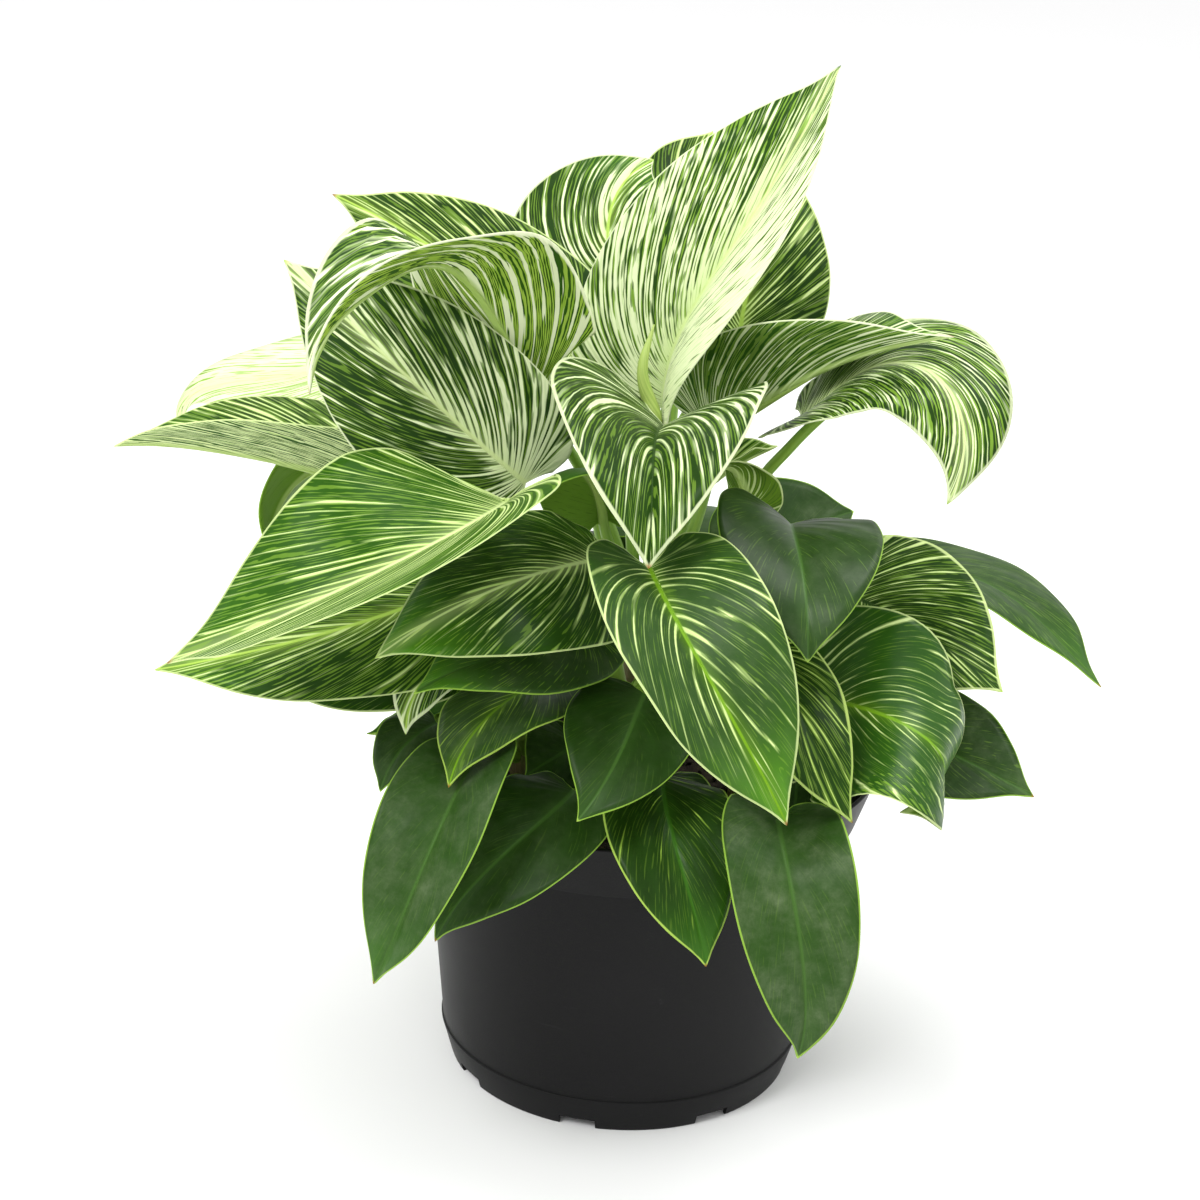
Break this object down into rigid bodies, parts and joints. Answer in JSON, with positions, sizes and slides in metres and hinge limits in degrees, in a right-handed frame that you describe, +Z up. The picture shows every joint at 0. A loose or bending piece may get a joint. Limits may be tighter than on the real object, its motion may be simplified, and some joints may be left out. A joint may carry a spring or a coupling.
{
  "type": "potted houseplant",
  "caption": "Variegated philodendron with heart-shaped striped leaves in a plain round nursery pot filled with soil, standing on its pot.",
  "frame": {"origin": "under the middle of the whole plant's bounding box, in the plane that the pot stands on", "axes": "+Z up, parallel to the pot's axis; -Y is the plant's front; +X to the right seen from the front"},
  "size_m": [0.338, 0.2726, 0.345],
  "materials": {
    "pot": "satin charcoal plastic",
    "soil": "dark crumbly potting soil",
    "stem": "green stem with papery brown sheaths",
    "leaf_striped": "glossy dark green with cream stripes along the veins",
    "leaf_dark": "glossy dark green with a few fine pale flecks",
    "leaf_cream": "satin cream with dark green dashes along the veins"
  },
  "bodies": {
    "root": {"leaf_back_center": "leaf_striped", "leaf_back_left": "leaf_striped", "leaf_back_right": "leaf_striped", "leaf_center_front": "leaf_striped", "leaf_center_left": "leaf_striped", "leaf_center_right": "leaf_striped", "leaf_crown": "leaf_cream", "leaf_far_right": "leaf_dark", "leaf_inner_arched": "leaf_dark", "leaf_inner_left": "leaf_dark", "leaf_inner_right": "leaf_dark", "leaf_left": "leaf_striped", "leaf_left_drooping": "leaf_dark", "leaf_left_rear": "leaf_cream", "leaf_low_center_left": "leaf_dark", "leaf_low_front": "leaf_dark", "leaf_low_front_right": "leaf_dark", "leaf_low_left": "leaf_dark", "leaf_low_left_bright": "leaf_striped", "leaf_low_left_inner": "leaf_dark", "leaf_low_left_upper": "leaf_striped", "leaf_low_left_upright": "leaf_striped", "leaf_middle_left": "leaf_striped", "leaf_middle_left_lowest": "leaf_striped", "leaf_middle_left_under": "leaf_striped", "leaf_rear_1": "leaf_dark", "leaf_rear_2": "leaf_dark", "leaf_rear_3": "leaf_dark", "leaf_rear_4": "leaf_dark", "leaf_rear_5": "leaf_dark", "leaf_rear_6": "leaf_dark", "leaf_rear_7": "leaf_dark", "leaf_rear_right_round": "leaf_dark", "leaf_right_arching": "leaf_striped", "leaf_right_low": "leaf_dark", "leaf_right_middle": "leaf_striped", "leaf_right_recurved": "leaf_striped", "leaf_shield_front": "leaf_striped", "leaf_shield_right": "leaf_dark", "leaf_small_curled": "leaf_dark", "leaf_small_left": "leaf_dark", "leaf_small_left_low": "leaf_dark", "leaf_small_right": "leaf_dark", "leaf_upper_left": "leaf_striped", "leaf_upper_left_arching": "leaf_striped", "leaf_upper_left_rear": "leaf_striped", "leaf_upper_right": "leaf_striped", "new_leaf_spike": "leaf_cream", "pot": "pot", "soil": "soil", "stem_front": "stem", "stem_left": "stem", "stem_main": "stem", "stem_rear": "stem", "stem_right": "stem"}
  },
  "joints": []
}
